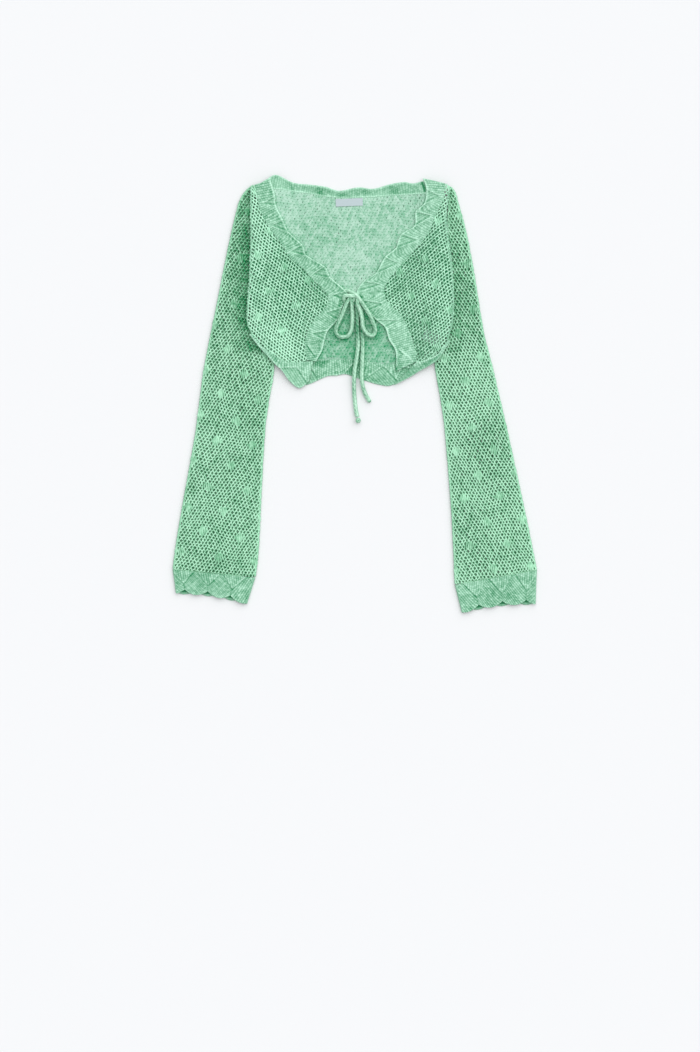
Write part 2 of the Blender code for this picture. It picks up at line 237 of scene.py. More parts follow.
def evenly(points, step):
    lengths = distances(points)
    return resampled(points, lengths, max(int(round(lengths[-1] / step)), 2) + 1)


def gauss(value, width):
    return np.exp(-(value / width) ** 2)


def clipped(value):
    return np.clip(value, 0, 1)


def unitRows(rows):
    return rows / np.linalg.norm(rows, axis=1)[:, None]


# Even numbers from -1 to 1 that look random and are the same each time.
def scatter(i, j, seed):
    value = np.sin(i * 127.1 + j * 311.7 + seed * 74.7) * 43758.5453
    return (value - np.floor(value)) * 2 - 1


# Heights of one solid's upper and lower side, found by rays, in the tables' millimetres.
class Lay:
    def __init__(self, name, margin=0.0):
        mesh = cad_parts[name].data
        corners = [vertex.co[:] for vertex in mesh.vertices]
        self.tree = BVHTree.FromPolygons(corners, [polygon.vertices[:] for polygon in mesh.polygons])
        self.offsets = (0, -margin, margin) if margin else (0,)    # a place is this far from the sides

    def cast(self, x, y, start, down):
        heights = []
        for offset in self.offsets:
            place = Vector(((x + offset) * mm, (y - middleY) * mm, start))
            hit = self.tree.ray_cast(place, Vector((0, 0, down)))
            if hit[0] is None:
                return None
            heights.append(hit[0].z / mm)
        return heights[0]

    def top(self, x, y):
        return self.cast(x, y, 0.1, -1)

    def under(self, x, y):
        return self.cast(x, y, -0.1, 1)


climb = {"from": 84, "over": 36, "height": 5.35}


# How high the body has climbed onto the flattened sleeves, as its solids do.
def stackHeight(x):
    t = clipped((np.abs(x) - climb["from"]) / climb["over"])
    return climb["height"] * t * t * (3 - 2 * t)


def newObject(name, data):
    made = bpy.data.objects.new(name, data)
    bpy.context.collection.objects.link(made)
    return made


# A mesh piece from points in the tables' millimetres, riding on the only body. Materials read its tones and,
# in the net, its vectors: the place along a strand, sideways and up.
def newPiece(name, material, points, faces, tones, vectors=None):
    points = np.array(points, float)
    points[:, 1] -= middleY
    points[:, 2] = np.maximum(points[:, 2], 0)    # the yarn lies flat where it meets the floor
    mesh = bpy.data.meshes.new(name)
    mesh.from_pydata((points * mm).tolist(), [], faces)
    mesh.materials.append(material)
    for layerName, kind, key, values in (("strand", "FLOAT_VECTOR", "vector", vectors),
                                         ("tone", "FLOAT", "value", tones)):
        if values is not None:
            layer = mesh.attributes.new(layerName, kind, "POINT")
            layer.data.foreach_set(key, np.array(values, np.float32).ravel())
    mesh.shade_smooth()
    mesh.validate()
    piece = newObject(name, mesh)
    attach(piece, "root")
    print(name, len(mesh.polygons), "faces")
    return piece


# A closed piece, with its faces outwards, in the place of a solid.
def closedPiece(name, node, slot, material, *mesh):
    piece = newPiece(name, material, *mesh)
    shape = bmesh.new()
    shape.from_mesh(piece.data)
    if shape.calc_volume(signed=True) < 0:
        bmesh.ops.reverse_faces(shape, faces=shape.faces)
    shape.to_mesh(piece.data)
    shape.free()
    if node:
        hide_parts(node)
    return piece


# Rings of points round a line: each reaches sideways and up from the line's own points.
def tubeRings(line, reach, side, up, angle):
    turned = side[:, None] * np.cos(angle)[:, None] + up[:, None] * np.sin(angle)[:, None]
    return line[:, None] + reach[..., None] * turned


# Quads between the rings of one tube, and its two end caps.
def ringFaces(rings, sides):
    level = np.arange(rings - 1)[:, None] * sides
    k = np.arange(sides)
    following = (k + 1) % sides
    quads = np.stack([level + k, level + following, level + sides + following, level + sides + k], -1)
    caps = [list(range(sides - 1, -1, -1)), list(range((rings - 1) * sides, rings * sides))]
    return quads.reshape(-1, 4).tolist() + caps


# Several parts as one, each given as its points, its faces and its values at the points.
def joined(parts):
    starts = np.cumsum([0] + [len(part[0]) for part in parts]).tolist()
    faces = [[index + start for index in face] for part, start in zip(parts, starts) for face in part[1]]
    points, _, *values = zip(*parts)
    return [np.concatenate(points), faces] + [np.concatenate(value) for value in values]


# Flat-lying strands, whose rows are x, y, z, radius and tone, as tubes. The side that faces the floor takes
# the tone below, where that is given.
def yarnTubes(strands, sides, squash=1.0, below=None):
    angle = 2 * np.pi * np.arange(sides) / sides
    parts = []
    for strand in strands:
        line = strand[:, :3]
        run = unitRows(np.gradient(line, axis=0))
        side = np.stack([run[:, 1], -run[:, 0], np.zeros(len(run))], 1)
        length = np.linalg.norm(side, axis=1)[:, None]
        side = np.where(length > 1e-6, side / np.maximum(length, 1e-6), [1.0, 0, 0])
        points = tubeRings(line, strand[:, 3:4], side, np.cross(side, run) * squash, angle)
        vectors = np.zeros(points.shape)
        vectors[..., 0] = (distances(line)[:, None] + strand[0, 0]) * mm
        vectors[..., 1] = np.cos(angle)
        vectors[..., 2] = np.sin(angle)
        tones = np.repeat(strand[:, 4:5], sides, 1)
        if below is not None:
            share = clipped(-np.sin(angle))
            tones = tones * (1 - share) + below * share
        faces = ringFaces(len(line), sides)
        parts.append((points.reshape(-1, 3), faces, tones.ravel(), vectors.reshape(-1, 3)))
    return joined(parts)


# A tube along a line, with a relief and a shade worked out from the length and the angle.
def ropeMesh(line, radius, relief, sides):
    run = unitRows(np.gradient(line, axis=0))
    side = np.cross(run[0], [0, 0, 1.0])
    sideways = []
    for heading in run:
        side = side - heading * side.dot(heading)
        side = side / np.linalg.norm(side)
        sideways.append(side)
    sideways = np.array(sideways)
    angle = 2 * np.pi * np.arange(sides) / sides
    height, shade = relief(distances(line)[:, None], angle)
    points = tubeRings(line, np.reshape(radius, (-1, 1)) + height, sideways, np.cross(sideways, run), angle)
    return points.reshape(-1, 3), ringFaces(len(line), sides), shade


tieLook = {
    "diameter": 6.2,
    "step": 0.7,            # spacing of the rings along the cord
    "stitch": 6.4,
    "wholeEnd": 13,         # length of the sewn end of a bare tail
    "shadeReach": 6.5,      # of the shade beside the cords
}
loopRight = [
    (-11.6, 134.2, 9.4), (-15.4, 124, 9.8), (-20.5, 111.5, 9.8), (-25.8, 100.5, 9.2), (-28, 92.5, 7.8),
    (-26.2, 86.2, 6.8), (-19, 82.6, 6.4), (-9.8, 85, 6.4), (-4.6, 96, 6.4), (-3.6, 113, 6.4),
    (-4.2, 125, 6.8), (-4.8, 134.1, 7.8),
]
loopLeft = [
    (7.6, 138.4, 10.2), (14.6, 128, 11.2), (22, 116, 11.0), (28, 103, 9.4), (31, 91.5, 8.2),
    (26.8, 84.4, 8.6), (18.4, 87, 10.6), (12.6, 97, 11.9), (10.8, 110, 11.9), (7.8, 122, 12.1),
    (3.4, 131.6, 12.3),
]
tailRight = [
    (2, 133.6, 5.8), (4, 122, 5.4), (4.2, 109, 5.4), (4.4, 92, 5.4), (5.2, 70, 5.6), (2.6, 50, 6.2),
    (0, 33, 6.1), (-1, 18, 5.6), (-1, 4, 3.7), (0, -12, 3.2), (2, -28, 3.2), (4, -37, 3.3),
]
tailLeft = [
    (10.6, 124, 5.4), (11, 110, 5.4), (11.2, 92, 5.4), (12, 70, 5.6), (11.5, 50, 6.2),
    (10.8, 33, 6.1), (10.6, 19, 5.9), (12.5, 7, 4.1), (17, -5, 3.2), (23, -15, 3.2),
]
tieLine = np.concatenate([spline(route, 3) for route in (loopRight, loopLeft, tailRight, tailLeft)])[:, :2]


# 1 beside the bow's cords and 0 from about 12 mm off, for the shade round them.
def besideTie(place):
    gaps = np.linalg.norm(np.asarray(place)[..., None, :] - tieLine, axis=-1)
    return gauss(gaps.min(-1), tieLook["shadeReach"])


netLook = {
    "radius": 0.96,         # of the yarn
    "swing": 0.40,          # how far a strand swings to each side, in column widths
    "joined": 0.20,         # part of a row over which two strands lie together
    "ply": 0.30,            # how far the strokes that lean one way stand above the others
    "leanPaintedLight": 0.16,       # and how much lighter they are, as painted light
    "leanWidth": 0.10,      # and thicker
    "joinPaintedLight": 0.15,       # painted highlight where two strands lie together
    "headPaintedLight": 0.17,       # painted highlight at a stroke's upper end, and painted shade at its lower end
    "oddTone": 0.22,        # how much the lightness changes from join to join
    "stray": 0.60,          # how far a turn of the yarn is off its place
    "skew": 0.08,           # how far the yarn slants where it is joined, in column widths
    "uneven": 0.19,         # how unevenly the yarn swings and how unevenly thick it is
    "openTone": 0.16,       # how much darker the yarn is where the net is wide open
    "openWidth": 0.17,      # and how much thinner
    "dotWidth": 3.4,        # half width of a solid diamond, in columns
    "dotHeight": 1.9,       # half height, in rows
    "dotYarn": 0.42,        # how much thicker the yarn is in a diamond
    "dotTone": 0.03,
    "bury": 0.9,            # how far a strand runs on past its panel's edge, or ends before it if below 0
}

# "open" lists places where the net is more open, or less: x, y, reach and how much.
sleeveRight = {
    "dot": (-185.8, -110.6), "across": (56.0, -8.0), "down": (-9.6, -68.4),
    "columns": 22, "rows": 16, "lean": -0.35, "bodyShade": 0.55,
    "open": [(-180, 170, 60, 0.4), (-185, 60, 50, 0.3), (-230, -60, 50, -0.3), (-170, -180, 60, -0.3)],
}
sleeveLeft = {
    "dot": (196.0, -193.7), "across": (55.5, 3.3), "down": (10.2, -70.2),
    "columns": 22, "rows": 16, "lean": 0.15, "bodyShade": 0.2,
    "open": [(185, 130, 60, 0.4), (200, 20, 50, -0.3), (180, -100, 50, 0.3), (240, -180, 60, -0.3)],
}
frontRight = {
    "dot": (-107.6, 186.4), "across": (57.0, 18.8), "down": (19.5, -56.3),
    "columns": 24, "rows": 14, "lean": 0.15,
    "open": [(-104, 232, 24, 0.8), (-78, 196, 26, 0.9), (-56, 158, 24, 0.9), (-70, 118, 30, 0.5),
             (-138, 150, 34, -0.5), (-112, 70, 26, -0.7), (-140, 220, 24, -0.3)],
}
frontLeft = {
    "dot": (84.4, 142.9), "across": (57.3, -18.8), "down": (-19.5, -56.3),
    "columns": 24, "rows": 14, "lean": -0.35,
    "open": [(105, 140, 200, 0.3), (108, 232, 24, 0.8), (84, 196, 26, 0.9), (62, 168, 22, 0.8),
             (98, 104, 24, 0.9), (104, 66, 26, 1.0), (92, 84, 18, 0.6), (130, 150, 30, -0.5),
             (128, 210, 22, -0.4), (134, 108, 18, -0.4)],
}
backPanel = {"dot": (0.0, 170.0), "across": (55.5, 0.0), "down": (0.0, -69.0),
             "columns": 22, "rows": 16, "lean": -0.25}


# 1 inside a solid diamond of the net and 0 outside, with a soft edge.
def solidity(i, j, net):
    best = 0.0
    for shift in (0.0, 0.5):
        across = i / net["columns"] - shift
        down = j / net["rows"] - shift
        di = (across - np.round(across)) * net["columns"]
        dj = (down - np.round(down)) * net["rows"]
        reach = np.abs(di) / netLook["dotWidth"] + np.abs(dj) / netLook["dotHeight"]
        best = np.maximum(best, clipped((1.15 - reach) / 0.35))
    return best


# 1 where the net is stretched wide open, below 0 where it is drawn together.
def openness(plan, net):
    total = np.zeros(len(plan))
    for x, y, reach, amount in net.get("open", ()):
        total += amount * gauss(np.hypot(plan[:, 0] - x, plan[:, 1] - y), reach)
    return np.clip(total, -1, 1)


# The slow waves of a knitted net, which is never quite straight.
def drift(plan):
    x, y = plan[:, 0], plan[:, 1]
    across = 1.3 * np.sin(x / 23 + y / 31) + 0.9 * np.sin(y / 13 - x / 41 + 2)
    down = 1.1 * np.sin(x / 17 - y / 29 + 1) + 0.8 * np.sin(x / 9 + y / 37)
    return np.stack([across, down], 1)


# Halves the way between a place inside a solid's plan and one outside, until both are near the edge.
def narrowed(inner, outer, height, steps):
    for _ in range(steps):
        half = (inner + outer) / 2
        inner, outer = (inner, half) if height(half) is None else (half, outer)
    return inner, outer


# Where a strand that leaves its panel between two places ends, and the height there.
def strandEnd(inside, outside, height, bury):
    inner, outer = narrowed(inside, outside, lambda place: height(*place), 7)
    reached = np.linalg.norm(inner - inside) + bury
    if reached < 0.2:
        return None
    run = outer - inside
    x, y = inside + run / np.linalg.norm(run) * reached
    return x, y, height(*inner)


# The parts of a column that lie over its panel, as strands whose rows are x, y, z, radius and tone.
# The column's rows are x, y, lift, radius and tone.
def strandsOver(column, height, inset, radius, bury, darker):
    strands = [[]]

    def runOn(inside, outside):
        end = strandEnd(column[inside, :2], column[outside, :2], height, bury)
        if end:
            tone = column[max(inside, outside), 4]
            strands[-1].append((end[0], end[1], end[2] + inset, radius, tone))

    for n, (x, y, lift, width, tone) in enumerate(column):
        z = height(x, y)
        if z is not None:
            if not strands[-1] and n:
                runOn(n, n - 1)
            shade = darker(x, y) if darker else 0
            strands[-1].append((x, y, z + inset + lift, width, tone - shade))
        elif strands[-1]:
            runOn(n - 1, n)
            strands.append([])
    return [np.array(strand) for strand in strands if len(strand) > 2]


# The first and last column and row of a net that a box reaches to.
def netReach(net, columnStep, rowStep, box):
    grid = np.stack([columnStep, rowStep], 1)
    corners = [np.array((x, y)) - net["dot"] for x in (box[0], box[2]) for y in (box[1], box[3])]
    places = np.array([np.linalg.solve(grid, corner) for corner in corners])
    return np.floor(places.min(0)).astype(int) - 1, np.ceil(places.max(0)).astype(int) + 1


# Zigzag columns of yarn over a solid's plan, each joined in turn to its left and right neighbour.
def netStrands(net, lay, box, upper=True, fine=True, dots=True, radius=netLook["radius"], sink=0.0,
               bury=netLook["bury"], tone=0.0, shift=0.0, darker=None, zigzag=1.0):
    look = netLook
    origin = np.array(net["dot"])
    columnStep = np.array(net["across"]) / net["columns"]
    rowStep = np.array(net["down"]) / net["rows"]
    (firstColumn, firstRow), (lastColumn, lastRow) = netReach(net, columnStep, rowStep, box)
    rows = np.arange(firstRow, lastRow + 1)
    offsets = (-look["joined"], look["joined"]) if fine else (0.0,)
    j = (rows[:, None] + np.array(offsets)).ravel()
    whole = np.repeat(rows, len(offsets))
    leaving = np.tile([1.0, -1.0], len(rows)) if fine else np.zeros(len(rows))
    slant = -leaving * net["lean"] * look["skew"]
    height = lay.top if upper else lay.under
    inset = (radius + sink) * (-1 if upper else 1)
    strands = []
    for i in range(firstColumn, lastColumn + 1):
        turn = np.where((whole + i) % 2 == 0, 1.0, -1.0)
        solid = solidity(i, j, net) if dots else np.zeros(len(j))
        joint = np.where(turn > 0, i, i - 1)      # both strands of a join stray together
        uneven = look["uneven"] * scatter(joint, whole, 4)
        swing = turn * look["swing"] * zigzag * (1 - 0.97 * solid) * (1 + uneven)
        plan = origin + (i + shift + swing + slant)[:, None] * columnStep + j[:, None] * rowStep
        stray = look["stray"] * (1 - 0.7 * solid)
        plan = plan + np.stack([scatter(joint, whole, 1), scatter(joint, whole, 2)], 1) * stray[:, None]
        plan = plan + drift(plan)
        lean = turn * leaving * net["lean"]
        ply = lean * look["ply"] * (1 - solid)
        opened = openness(plan, net)
        # painted light on the raised strokes and the joins, and painted shade at the strokes' lower ends
        stroke = lean * look["leanPaintedLight"] + look["joinPaintedLight"] - leaving * look["headPaintedLight"]
        light = (tone + stroke * (1 - solid) + look["dotTone"] * solid
                 + look["oddTone"] * scatter(joint, whole, 3) - look["openTone"] * opened)
        width = radius * (1 + look["dotYarn"] * solid + look["leanWidth"] * lean * (1 - solid)
                          + uneven - look["openWidth"] * opened)
        column = np.column_stack([plan, ply, width, light])
        strands += strandsOver(column, height, inset, radius, bury, darker)
    return strands


def planBox(name):
    low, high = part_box(name)
    return (low.x / mm, low.y / mm + middleY, high.x / mm, high.y / mm + middleY)


# A piece of one or more layers, each given as what yarnTubes takes.
def netPiece(name, material, layers):
    return newPiece(name, material, *joined([yarnTubes(*layer) for layer in layers]))


def makeNet(name, node, material, layers):
    piece = netPiece(name, material, layers)
    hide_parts(node)


armholes = {
    "right": [(-156, 306), (-156, 263), (-156, 221), (-158, 170), (-161, 130), (-161, 103), (-154, 87)],
    "left": [(143, 306), (136, 260), (139, 230), (145, 195), (148, 150), (147, 108), (139, 78)],
}
foldLook = {"step": 2.2, "inset": 1.3, "radius": 1.7, "tone": -0.02}
# The under layer's tone is painted shade; its side that faces the floor takes a plain tone.
sleeveUnder = {"radius": 1.5, "tone": -0.46, "shift": 0.5, "zigzag": 0.25, "bury": 0}
besideSeam = {"from": 60, "reach": 22}      # where the body's painted shade falls on a sleeve, and how far from the armhole


# The yarn that runs down both folded sides of a flattened sleeve.
def sleeveFolds(lay, box):
    look = foldLook
    folds = []
    for outwards in (-1, 1):
        rows = []
        for number, y in enumerate(np.arange(box[3] - 2, box[1] + 1, -look["step"])):
            inside = [x for x in np.arange(box[0], box[2], 5.0) if lay.top(x, y) is not None]
            if not inside:
                continue
            inner = max(inside) if outwards > 0 else min(inside)
            inner, _ = narrowed(inner, inner + 5.0 * outwards, lambda x: lay.top(x, y), 6)
            x = inner - look["inset"] * outwards
            top, under = lay.top(x, y), lay.under(x, y)
            if top is None:
                continue
            odd = scatter(number, outwards, 8)
            tone = look["tone"] + 0.10 * (-1) ** number + 0.12 * odd
            rows.append((x + 0.25 * odd, y, (top + under) / 2, look["radius"] + 0.2 * odd, tone))
        folds.append(np.array(rows))
    return folds


# A flattened tube: its upper layer, and its under layer seen through the holes, darkened with painted shade
# on its upper side.
def makeSleeve(side, net):
    node = "sleeve_" + side
    lay, box = Lay(node), planBox(node)
    line = np.array(armholes[side][::-1], float)

    # Painted shade on the sleeve beside the body, near the armhole.
    def bodyShade(x, y):
        gap = abs(x - np.interp(y, line[:, 1], line[:, 0]))
        return net["bodyShade"] * gauss(gap, besideSeam["reach"]) if y > besideSeam["from"] else 0

    upper = netStrands(net, lay, box, bury=-netLook["bury"], darker=bodyShade)
    under = netStrands(net, Lay(node, 2.6), box, upper=False, fine=False, **sleeveUnder)
    layers = [(upper, 6), (sleeveFolds(lay, box), 6), (under, 4, 0.5, 0.5)]
    makeNet("sleeve_net_" + side, node, sleeveYarn, layers)


def makeFronts():
    for side, net in (("right", frontRight), ("left", frontLeft)):
        node = "front_" + side
        strands = netStrands(net, Lay(node), planBox(node))
        makeNet("front_net_" + side, node, frontYarn, [(strands, 6)])


# The tones say how much darker the back is all over, with painted shade towards the hem, beside the tie and
# where it is covered.
backLook = {
    "tone": 0.12, "hemPaintedShade": 0.30, "tiePaintedShade": 0.35, "coveredPaintedShade": 0.66, "behindShare": 0.8,
    "hemFrom": 150, "hemOver": 40,
    "middle": -6, "halfOpen": 128,      # the sleeves and seams cover what lies farther out
}
backFace = {"radius": 0.98, "sink": -0.12}
backBehind = {"radius": 2.4, "sink": -1.55, "shift": 0.5}


# The back lies with its inside up, so the backs of its stitches close the holes.
def makeBack():
    look = backLook
    lay, box = Lay("back_panel", 0.8), planBox("back_panel")
    covers = [Lay(name + side) for name in ("front_", "front_band_") for side in ("right", "left")]

    # Painted shade on the back: under the fronts and bands, past the sleeves and seams, towards the hem and
    # beside the tie.
    def covered(x, y):
        if abs(x - look["middle"]) > look["halfOpen"] or any(cover.top(x, y) is not None for cover in covers):
            return look["coveredPaintedShade"]
        low = min(max((look["hemFrom"] - y) / look["hemOver"], 0), 1)
        return look["tone"] + look["hemPaintedShade"] * low + look["tiePaintedShade"] * besideTie((x, y))

    def coveredBehind(x, y):
        return look["behindShare"] * covered(x, y)

    face = netStrands(backPanel, lay, box, dots=False, darker=covered, **backFace)
    behind = netStrands(backPanel, lay, box, upper=False, fine=False, dots=False, darker=coveredBehind,
                        **backBehind)
    backing = netPiece("back_stitches", backYarn, [(behind, 6, 0.3, 0.42)])
    makeNet("back_net", "back_panel", backYarn, [(face, 6, 0.8, 0.2)])


makeBack()
makeFronts()
makeSleeve("right", sleeveRight)
makeSleeve("left", sleeveLeft)
print("nets made")


# What each part of the relief adds is given as a pair: height and lightness, the lightness mostly painted
# light on what stands up and painted shade in what is sunk.
edgingLook = {
    "cell": 0.8,            # spacing of the mesh
    "thick": 1.7,
    "rib": 3.5,             # distance between the ribs, which run across the strip
    "ribAdds": (0.30, 0.21),
    "stitch": 3.6,          # length of one stitch along a rib
    "stitchAdds": (0.20, 0.16),
    "oddAdds": (0.12, 0.19),
    "sink": 0.7,            # depth of a fan under the stretch before it
    "fanRibs": 0.6,         # how much of the ribs' shade a fan keeps
    "fanTone": -0.03,
    "spread": 0.14,         # how much the ribs between two fans spread out
    "apex": 0.24,           # where a fan starts, as a share of the strip's width from the seam
    "apexAdds": (0.0, 0.14),
    "crestAdds": (0.35, 0.38),      # painted highlight along a fan's upper leg, outside it
    "shadowAdds": (0.0, -0.14),     # and inside it
    "grooveAdds": (-0.5, -0.42),    # painted shade in the groove along its lower leg
    "lipAdds": (0.2, 0.22),         # and painted highlight beyond that
    "rim": 1.9,             # width of the chain along the free edge
    "rimAdds": (0.3, 0.50),
    "knotAdds": (0.2, 0.12),        # at each stitch of the chain
    "knot": 3.4,            # length of one of them
    "besideRim": -0.12,     # painted shade beside that chain
    "seamChainAdds": (0.35, 0.36),
    "tiePaintedShade": -0.42,       # painted shade beside the bow's cords
    "tone": 0.55,
}

# Rows: seam x, seam y, free edge x, free edge y. Each second span is a sunk fan unless "without" names it.
# "fans" lists others by the point near the seam and the two corners, "hollows" has x, y, reach and the
# tone of its painted shade, and "folds" both ends, width, height and tone: painted shade in a crease, painted
# highlight on a ridge. "softEnd" is how long the rim fades out. "lowerTone" is the share of the width from
# which a strip lies in painted shade, and how dark.
rightBand = {
    "node": "front_band_right", "name": "front_edging_right", "base": 2.95, "flat": (0.028, 0.317),
    "rows": [
        (-150, 310, -126, 317), (-145, 287, -119, 293), (-142, 272, -118, 280), (-135, 257, -107, 257),
        (-126, 242, -99, 240), (-107, 217, -78, 220), (-99, 203, -72, 205), (-76, 183, -45, 188),
        (-63, 168, -36, 172), (-46, 152, -12, 150), (-39, 138, -13, 139), (-45, 125, -19, 126),
        (-57, 113, -25, 109), (-68, 97, -40, 92), (-74, 81, -45, 78), (-75, 66, -49, 62),
        (-72, 48, -58, 46),
    ],
    "without": [15],
    "folds": [
        ((-72, 70), (-60.5, 54), 0.9, -0.6, -0.62),
        ((-70.3, 71), (-58.8, 55), 0.9, 0.3, 0.3),
    ],
    "tone": -0.11,
}
leftBand = {
    "node": "front_band_left", "name": "front_edging_left", "base": 2.95, "flat": (0.035, 0.328),
    "rows": [
        (135, 312, 102, 320), (134, 299, 107, 303), (132, 287, 104, 283), (126, 274, 91, 270),
        (118, 257, 89, 249), (111, 239, 69, 236), (95, 218, 61, 216), (80, 202, 45, 202),
        (66, 186, 31, 178), (53, 171, 13, 166), (44, 153, 3, 151), (47, 139, 7, 138),
        (57, 127, 19, 122), (69, 116, 32, 108), (77, 102, 45, 97), (84, 86, 51, 79),
        (89, 70, 60, 64), (92, 57, 62, 50), (93, 46, 61, 31),
    ],
    "without": [15, 17],
    "folds": [
        ((67, 64), (83, 51), 1.1, 0.45, 0.5),
        ((64, 63), (72, 56), 1.0, -0.4, -0.36),
        ((63, 38), (62, 33), 1.3, -0.5, -0.7),
    ],
    "softEnd": 22,
    "tone": -0.02,
}
neckBand = {
    "node": "neck_band_back", "name": "neck_edging", "base": 0.0, "flat": (0.017, 0.284),
    "rows": [
        (-145, 301, -147, 309), (-127, 303, -131, 319), (-112, 303, -117, 325), (-91, 300, -92, 314),
        (-67, 297, -66, 311), (-45, 293, -44, 308), (-22, 291, -23, 302), (3, 291, 5, 307),
        (27, 292, 28, 305), (53, 294, 54, 312), (72, 295, 74, 315), (89, 296, 88, 313),
        (108, 297, 107, 316), (134, 298, 132, 308),
    ],
    "without": [1, 3, 5, 7, 9, 11],
    "hollows": [(-93, 306, 9, -0.2), (-52, 300, 12, -0.3), (-16, 296, 14, -0.26), (15, 300, 9, -0.3),
                (59, 301, 12, -0.26), (86, 303, 8, -0.2)],
    "ribShare": 0.6,
    "seamChain": 1.0,
    "rimShare": 0.4,
    "tone": -0.03,
    "folds": [
        ((98.6, 320), (103.6, 306), 1.7, -0.5, -0.75),
        ((103.6, 306), (105.2, 299), 1.7, -0.5, -0.75),
    ],
}
backHem = {
    "node": "hem_band_back", "name": "hem_edging_back", "base": 0.0, "flat": (0.025, 0.287),
    "rows": [
        (-133, 67, -136, 65), (-114, 56, -118, 45), (-94, 48, -94, 18), (-76, 47, -74, 11),
        (-60, 48, -55, 18), (-43, 49, -41, 24), (-28, 49, -27, 25), (-13, 49, -14, 27),
        (3, 48, 2, 22), (20, 45, 20, 16), (38, 43, 38, 11), (56, 42, 57, 11),
        (87, 47, 92, 31), (125, 66, 129, 63),
    ],
    "without": [5, 7, 9],
    "fans": [((-1, 44), (-18, 25), (3, 20)), ((43, 39), (17, 21), (72, 8))],
    "rimShare": 0.4,
    "tone": -0.11,
    "hollows": [(36, 31, 18, -0.12), (-53, 43, 10, -0.4)],
}
rightHem = {
    "node": "hem_band_right", "name": "hem_edging_right", "base": 2.95, "flat": (0.018, 0.111),
    "rows": [
        (-154, 87, -158, 86), (-139, 69, -143, 67), (-127, 59, -131, 54), (-115, 51, -120, 42),
        (-103, 46, -109, 32), (-93, 45, -98, 17), (-83, 45, -83, 6), (-62, 46.5, -69, 16),
    ],
    "without": [3, 5],
    "fans": [((-87, 37), (-112, 36), (-71, 13))],
    "rimShare": 0.5,
    "tone": -0.04,
}
leftHem = {
    "node": "hem_band_left", "name": "hem_edging_left", "base": 2.95, "flat": (0.019, 0.084),
    "rows": [
        (139, 78, 143, 76), (129, 63, 133, 60), (123, 56, 124, 48), (110, 50, 111, 39),
        (102, 47, 98, 32), (98, 46, 85, 24), (95, 46, 72, 17), (93, 46, 58, 10),
    ],
    "without": [1, 3, 5],
    "lowerTone": (0.3, -0.22),
    "seamChain": 1.0,
    "area": 0.0011,
}


# Running mean over the rows, with the ends held.
def smoothed(values, reach):
    padded = np.concatenate([np.repeat(values[:1], reach, 0), values, np.repeat(values[-1:], reach, 0)])
    total = np.cumsum(np.concatenate([np.zeros_like(padded[:1]), padded]), 0)
    return (total[2 * reach + 1:] - total[:-2 * reach - 1]) / (2 * reach + 1)


# What a mask adds to the heights and the lightness.
def added(mask, adds):
    return np.array([mask * adds[0], mask * adds[1]])


# Ribs with stitches along them, as heights in millimetres and lightness painted as their light and shade.
def ribbing(along, down):
    look = edgingLook
    number = np.floor(along / look["rib"] + 0.5)
    rib = np.cos(2 * np.pi * along / look["rib"])
    row = down / look["stitch"] + np.where(number % 2 == 0, 0.0, 0.5)
    stitch = np.cos(2 * np.pi * row) * (0.6 + 0.4 * rib)
    odd = scatter(number, np.floor(row + 0.5), 5)
    return added(rib, look["ribAdds"]) + added(stitch, look["stitchAdds"]) + added(odd, look["oddAdds"])


# Each sunk fan as its point near the seam and its two corners on the free edge.
def stripFans(strip):
    rows = np.array(strip["rows"], float)
    share = edgingLook["apex"]
    fans = []
    for k in range(1, len(rows) - 1, 2):
        if k not in strip.get("without", ()):
            middle = (rows[k] + rows[k + 1]) / 2
            fans.append((middle[:2] * (1 - share) + middle[2:] * share, rows[k, 2:], rows[k + 1, 2:]))
    return fans + [tuple(np.array(point, float) for point in fan) for fan in strip.get("fans", ())]


# Distances from one leg of a fan, counted into the fan, and along that leg.
def legPlaces(plan, apex, corner, other):
    run = (corner - apex) / np.linalg.norm(corner - apex)
    normal = np.array([-run[1], run[0]])
    normal *= np.sign((other - apex) @ normal)
    return (plan - apex) @ normal, (plan - apex) @ run


# Sinks one fan into the relief, with painted shade in it and in the groove along its lower leg, and painted
# highlights along its upper leg and beyond its lower one, and says where it lies.
def sinkFan(relief, plan, apex, upperCorner, lowerCorner):
    look = edgingLook
    fromUpper, outUpper = legPlaces(plan, apex, upperCorner, lowerCorner)
    fromLower, outLower = legPlaces(plan, apex, lowerCorner, upperCorner)
    root = np.hypot(plan[..., 0] - apex[0], plan[..., 1] - apex[1])
    fan = (clipped(fromUpper / 0.7 + 0.5) * clipped(fromLower / 0.9 + 0.5)
           * clipped(root / 2.5))
    height, light = ribbing(fromLower, outLower)
    sunk = look["sink"] * (1 - 0.5 * clipped(fromUpper / 12.0))
    relief = relief * (1 - fan) + np.array([height - sunk, look["fanRibs"] * light + look["fanTone"]]) * fan
    upperReach = clipped(outUpper / 5.0)
    lowerReach = clipped(outLower / 4.0) * (fromUpper > 0)
    relief += added(gauss(root, 4.5) * (1 - fan), look["apexAdds"])
    relief += added(gauss(fromUpper + 0.8, 0.9) * upperReach * (1 - fan), look["crestAdds"])
    relief += added(gauss(fromUpper - 0.9, 0.9) * upperReach, look["shadowAdds"])
    relief += added(gauss(fromLower - 0.3, 0.8) * lowerReach, look["grooveAdds"])
    relief += added(gauss(fromLower + 1.2, 0.9) * lowerReach, look["lipAdds"])
    return relief, fan


# A short straight crease or ridge of a strip.
def foldRelief(plan, start, end, width, height, tone):
    start, end = np.array(start, float), np.array(end, float)
    length = np.linalg.norm(end - start)
    run = (end - start) / length
    place, off = (plan - start) @ run, (plan - start) @ np.array([-run[1], run[0]])
    extent = clipped((place + 1) / 2) * clipped((length + 1 - place) / 2)
    return added(gauss(off, width) * extent, (height, tone))
